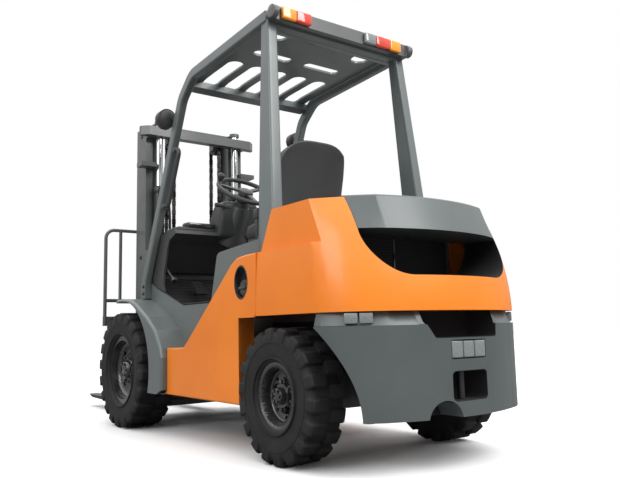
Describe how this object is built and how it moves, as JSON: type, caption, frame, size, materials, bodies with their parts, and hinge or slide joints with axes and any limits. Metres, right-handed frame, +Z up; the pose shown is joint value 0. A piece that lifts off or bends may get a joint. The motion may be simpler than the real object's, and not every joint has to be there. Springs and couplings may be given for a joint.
{
  "type": "counterbalance forklift truck",
  "caption": "Counterbalance forklift with a tilting two-stage mast, fork carriage, overhead guard and steered rear wheels.",
  "frame": {"origin": "on the floor under the middle of the truck's bounding box", "axes": "+X forward to the fork tips, +Y to the driver's left, +Z up"},
  "size_m": [3.88, 1.235, 2.168],
  "materials": {
    "body_orange": "gloss enamel",
    "body_grey": "satin enamel",
    "frame_black": "satin enamel",
    "mast_grey": "satin enamel",
    "fork_black": "forged and painted",
    "cylinder_black": "satin enamel",
    "chrome_rod": "ground and plated",
    "chain_steel": "oiled",
    "tyre_rubber": "moulded",
    "rim_black": "gloss enamel",
    "cab_plastic": "grained",
    "floor_rubber": "ribbed mat",
    "seat_vinyl": "grained vinyl",
    "engine_iron": "cast",
    "radiator_metal": "matt enamel",
    "lamp_lens": "moulded lens"
  },
  "bodies": {
    "chassis": {"frame": "frame_black", "engine": "engine_iron", "front_axle": "frame_black", "rear_axle": "frame_black", "side_tank_left": "body_orange", "side_tank_right": "body_orange", "front_fender_left": "body_grey", "front_fender_right": "body_grey", "floor_plate": "floor_rubber", "cowl": "cab_plastic", "steering_column": "cab_plastic", "control_levers": "cab_plastic", "pedals": "floor_rubber", "guard_frame": "body_grey", "guard_roof": "body_grey", "rear_lamp_bar": "frame_black", "rear_lamp_left": "lamp_lens", "rear_lamp_right": "lamp_lens", "grab_handle": "cab_plastic", "headlamps": "lamp_lens", "counterweight_base": "body_grey", "counterweight_band": "body_orange", "counterweight_cap": "body_grey", "tow_pin": "frame_black", "radiator": "radiator_metal", "radiator_cover": "body_grey"},
    "hood": {"hood": "body_grey", "seat_base": "cab_plastic", "seat_cushion": "seat_vinyl", "seat_back": "seat_vinyl"},
    "steering_wheel": {"steering_wheel": "cab_plastic"},
    "front_wheel_left": {"front_tyre_left": "tyre_rubber", "front_rim_left": "rim_black"},
    "front_wheel_right": {"front_tyre_right": "tyre_rubber", "front_rim_right": "rim_black"},
    "knuckle_left": {"knuckle_left": "frame_black"},
    "knuckle_right": {"knuckle_right": "frame_black"},
    "rear_wheel_left": {"rear_tyre_left": "tyre_rubber", "rear_rim_left": "rim_black"},
    "rear_wheel_right": {"rear_tyre_right": "tyre_rubber", "rear_rim_right": "rim_black"},
    "mast_outer": {"outer_mast": "mast_grey", "lift_barrels": "cylinder_black"},
    "mast_inner": {"inner_mast": "mast_grey", "lift_rods": "chrome_rod", "chain_wheels": "chain_steel", "lift_chains": "chain_steel"},
    "carriage": {"carriage": "mast_grey", "backrest": "mast_grey", "fork_left": "fork_black", "fork_right": "fork_black"},
    "tilt_barrels": {"tilt_barrels": "cylinder_black"},
    "tilt_rods": {"tilt_rods": "chrome_rod"}
  },
  "joints": [
    {"name": "mast_tilt", "type": "hinge", "parent": "chassis", "child": "mast_outer", "pos_m": [0.38, 0, 0.355], "axis": [0, 1, 0], "range_deg": [-11, 6]},
    {"name": "mast_lift", "type": "slide", "parent": "mast_outer", "child": "mast_inner", "axis": [0, 0, 1], "range_m": [-0.02, 1.46]},
    {"name": "carriage_lift", "type": "slide", "parent": "mast_inner", "child": "carriage", "axis": [0, 0, 1], "range_m": [-0.02, 1.46]},
    {"name": "tilt_barrel_swing", "type": "hinge", "parent": "chassis", "child": "tilt_barrels", "pos_m": [-0.1, 0, 0.56], "axis": [0, 1, 0], "range_deg": [-3, 3]},
    {"name": "tilt_rod_slide", "type": "slide", "parent": "tilt_barrels", "child": "tilt_rods", "axis": [0.992, 0, 0.1264], "range_m": [-0.06, 0.035]},
    {"name": "front_wheel_left_spin", "type": "hinge", "parent": "chassis", "child": "front_wheel_left", "pos_m": [0.38, 0.505, 0.355], "axis": [0, 1, 0], "continuous": true},
    {"name": "front_wheel_right_spin", "type": "hinge", "parent": "chassis", "child": "front_wheel_right", "pos_m": [0.38, -0.505, 0.355], "axis": [0, 1, 0], "continuous": true},
    {"name": "steer_left", "type": "hinge", "parent": "chassis", "child": "knuckle_left", "pos_m": [-1.32, 0.37, 0.295], "axis": [0, 0, 1], "range_deg": [-75, 75]},
    {"name": "steer_right", "type": "hinge", "parent": "chassis", "child": "knuckle_right", "pos_m": [-1.32, -0.37, 0.295], "axis": [0, 0, 1], "range_deg": [-75, 75]},
    {"name": "rear_wheel_left_spin", "type": "hinge", "parent": "knuckle_left", "child": "rear_wheel_left", "pos_m": [-1.32, 0.4825, 0.295], "axis": [0, 1, 0], "continuous": true},
    {"name": "rear_wheel_right_spin", "type": "hinge", "parent": "knuckle_right", "child": "rear_wheel_right", "pos_m": [-1.32, -0.4825, 0.295], "axis": [0, 1, 0], "continuous": true},
    {"name": "steering_wheel_turn", "type": "hinge", "parent": "chassis", "child": "steering_wheel", "pos_m": [-0.165, 0, 1.462], "axis": [-0.5674, 0, 0.8234], "range_deg": [-760, 760]},
    {"name": "hood_open", "type": "hinge", "parent": "chassis", "child": "hood", "pos_m": [-1.117, 0, 1], "axis": [0, -1, 0], "range_deg": [0, 60]}
  ],
  "couplings": [
    {"joint": "carriage_lift", "follows": "mast_lift", "ratio": 1},
    {"joint": "tilt_barrel_swing", "follows": "mast_tilt", "ratio": 0.105},
    {"joint": "tilt_rod_slide", "follows": "mast_tilt", "m_per_rad": 0.264},
    {"joint": "steer_right", "follows": "steer_left", "ratio": 1},
    {"joint": "steering_wheel_turn", "follows": "steer_left", "ratio": -10}
  ]
}
